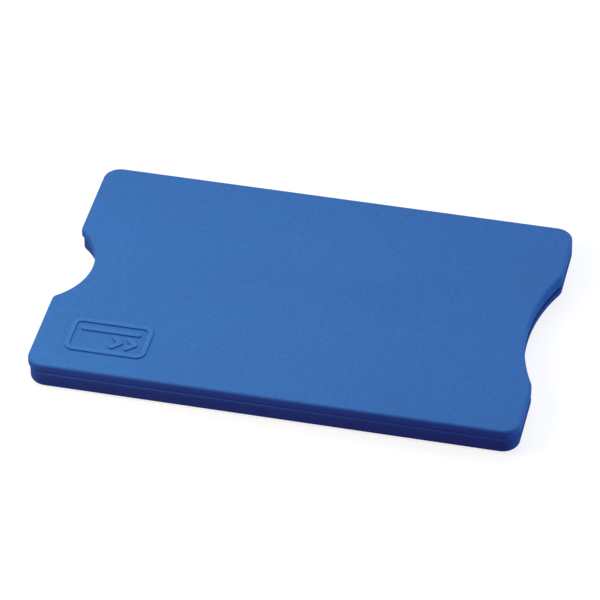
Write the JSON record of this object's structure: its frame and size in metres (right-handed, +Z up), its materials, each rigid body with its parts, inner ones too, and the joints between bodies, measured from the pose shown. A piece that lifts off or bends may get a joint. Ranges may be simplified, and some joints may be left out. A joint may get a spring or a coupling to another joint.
{
  "type": "rfid card sleeve",
  "caption": "Rigid flat sleeve for one card: two moulded half shells with thumb notches at both ends and a shielding foil inside each.",
  "frame": {"origin": "middle of the underside, on the surface that the sleeve lies on", "axes": "+X along the card, towards the open end with the wide notch; +Y across the card, away from the raised mark; +Z up, out of the face with the raised mark"},
  "size_m": [0.09, 0.0602, 0.0052],
  "materials": {
    "lower_plastic": "fine grain, satin",
    "upper_plastic": "fine grain, satin",
    "foil": "rolled foil, semi-bright"
  },
  "bodies": {
    "root": {"lower_shell": "lower_plastic", "upper_shell": "upper_plastic", "lower_shield": "foil", "upper_shield": "foil"}
  },
  "joints": []
}
